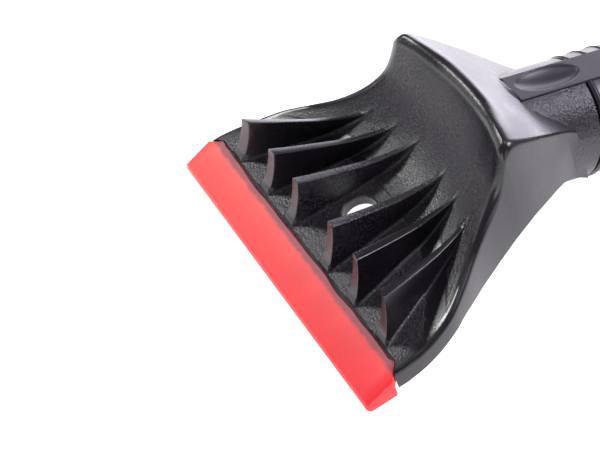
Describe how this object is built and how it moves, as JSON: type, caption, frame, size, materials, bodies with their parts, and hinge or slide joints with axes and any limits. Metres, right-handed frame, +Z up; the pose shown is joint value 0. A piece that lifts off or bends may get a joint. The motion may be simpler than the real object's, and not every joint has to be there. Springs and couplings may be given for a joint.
{
  "type": "windshield ice scraper",
  "caption": "Hand ice scraper: wide red plastic blade on a moulded head with raised ice-breaking fins, on a round ribbed handle with a hanging tab",
  "frame": {"origin": "middle of the underside of the bounding box, with the scraper lying blade edge and end cap down on a table", "axes": "+Y from the blade towards the handle's end, +Z up off the table, +X across the blade"},
  "size_m": [0.1, 0.2326, 0.0458],
  "materials": {
    "black_head_plastic": "moulded, fine sparkling grain",
    "red_blade_plastic": "translucent, polished",
    "black_grip_plastic": "satin, ringed",
    "smooth_spine_plastic": "smooth satin",
    "core_plastic": "plain moulded",
    "screw_steel": "zinc plated"
  },
  "bodies": {
    "root": {"scraper_head": "black_head_plastic", "scraper_blade": "red_blade_plastic", "handle_core": "core_plastic", "grip_sleeve": "black_grip_plastic", "top_spine": "smooth_spine_plastic", "end_cap": "black_grip_plastic", "head_screw": "screw_steel", "cap_screw": "screw_steel"}
  },
  "joints": []
}
